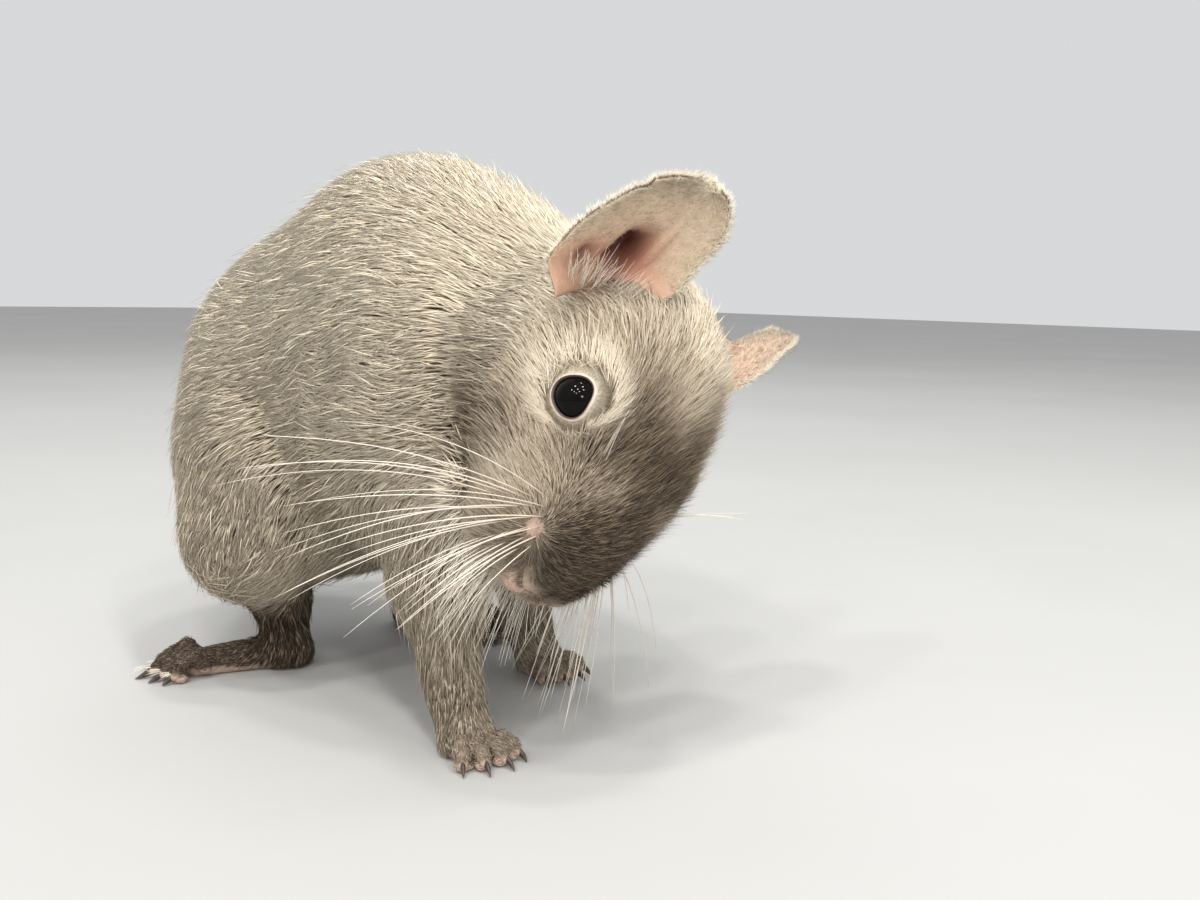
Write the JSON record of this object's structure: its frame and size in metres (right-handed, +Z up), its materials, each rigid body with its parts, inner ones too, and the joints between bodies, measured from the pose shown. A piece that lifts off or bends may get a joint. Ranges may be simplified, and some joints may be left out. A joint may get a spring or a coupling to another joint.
{
  "type": "degu",
  "caption": "Life-size still degu crouching on all fours with a bowed, tilted head, cupped ears, clawed feet and a tufted tail laid on the floor.",
  "frame": {"origin": "on the floor, under the middle of the whole model's box", "axes": "+Z up, the torso faces -Y, +X is the animal's left side"},
  "size_m": [0.1236, 0.1508, 0.093],
  "materials": {
    "coat": "soft matt fur",
    "dark_coat": "soft matt fur",
    "bare_skin": "thin soft skin",
    "paw_skin": "finely furred skin",
    "horn": "satin horn",
    "eye": "wet black gloss"
  },
  "bodies": {
    "root": {"arm_left": "coat", "arm_right": "coat", "claw_foot_left_1": "horn", "claw_foot_left_2": "horn", "claw_foot_left_3": "horn", "claw_foot_left_4": "horn", "claw_foot_left_5": "horn", "claw_foot_right_1": "horn", "claw_foot_right_2": "horn", "claw_foot_right_3": "horn", "claw_foot_right_4": "horn", "claw_foot_right_5": "horn", "claw_hand_left_1": "horn", "claw_hand_left_2": "horn", "claw_hand_left_3": "horn", "claw_hand_left_4": "horn", "claw_hand_right_1": "horn", "claw_hand_right_2": "horn", "claw_hand_right_3": "horn", "claw_hand_right_4": "horn", "ear_left": "bare_skin", "ear_right": "bare_skin", "eye_left": "eye", "eye_right": "eye", "foot_left": "paw_skin", "foot_right": "paw_skin", "hand_left": "paw_skin", "hand_right": "paw_skin", "head": "coat", "neck": "coat", "shank_left": "dark_coat", "shank_right": "dark_coat", "tail_base": "coat", "tail_middle": "coat", "tail_tip": "dark_coat", "thigh_left": "coat", "thigh_right": "coat", "torso": "coat"}
  },
  "joints": []
}
